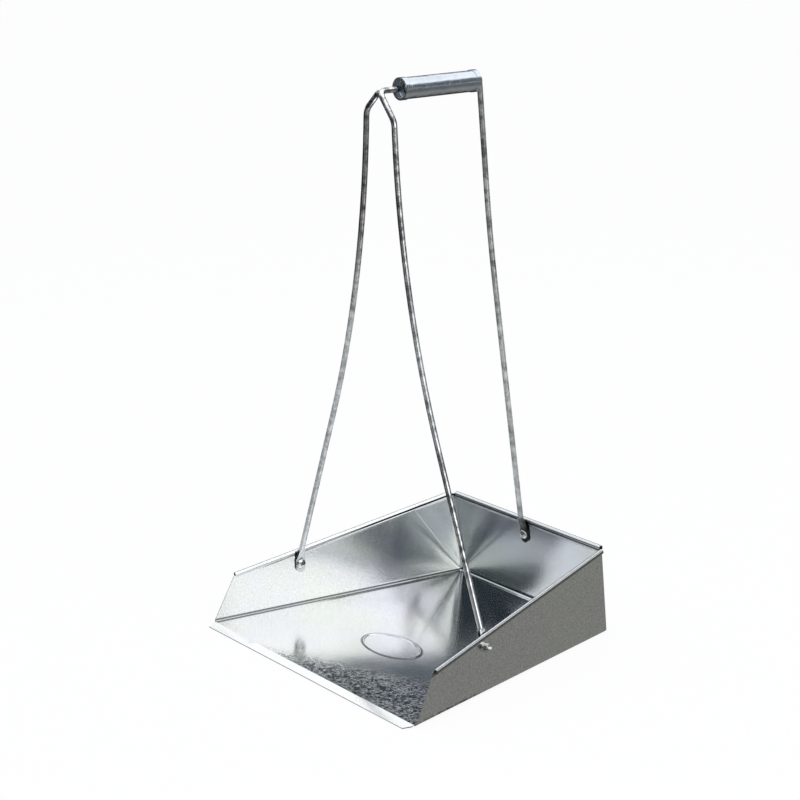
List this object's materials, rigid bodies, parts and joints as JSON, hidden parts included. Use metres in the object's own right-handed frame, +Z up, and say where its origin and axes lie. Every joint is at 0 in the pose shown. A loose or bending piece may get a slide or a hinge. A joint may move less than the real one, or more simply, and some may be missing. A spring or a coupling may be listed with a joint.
{
  "type": "metal dustpan with upright handle",
  "caption": "Folded galvanised sheet dustpan with rolled rims and an upright handle of bent steel wire, bolted to the walls, with a free-turning tube grip.",
  "frame": {"origin": "centre of the bounding box at ground level, under the middle of the pan", "axes": "+Z up, -Y towards the open front lip, +Y towards the rear wall, +X towards the right when looking in from the front"},
  "size_m": [0.3495, 0.3269, 0.6058],
  "materials": {
    "galvanised_sheet": "satin zinc coating with a fine grain",
    "plated_wire": "bright zinc plate",
    "weld_metal": "dull weld bead",
    "grip_steel": "satin with fine turning lines",
    "plated_fastener": "bright zinc plate"
  },
  "bodies": {
    "pan_and_handle": {"pan": "galvanised_sheet", "main_wire": "plated_wire", "left_wire": "plated_wire", "apex_weld": "weld_metal", "screw_left": "plated_fastener", "screw_right": "plated_fastener", "screw_rear": "plated_fastener", "washer_left": "plated_fastener", "washer_right": "plated_fastener", "washer_rear": "plated_fastener", "nut_left": "plated_fastener", "nut_right": "plated_fastener", "nut_rear": "plated_fastener"},
    "grip": {"grip_tube": "grip_steel", "grip_cap_front": "grip_steel", "grip_cap_rear": "grip_steel"}
  },
  "joints": [
    {"name": "grip_spin", "type": "hinge", "parent": "pan_and_handle", "child": "grip", "pos_m": [0, 0.02452, 0.59422], "axis": [0, 1, 0], "continuous": true}
  ]
}
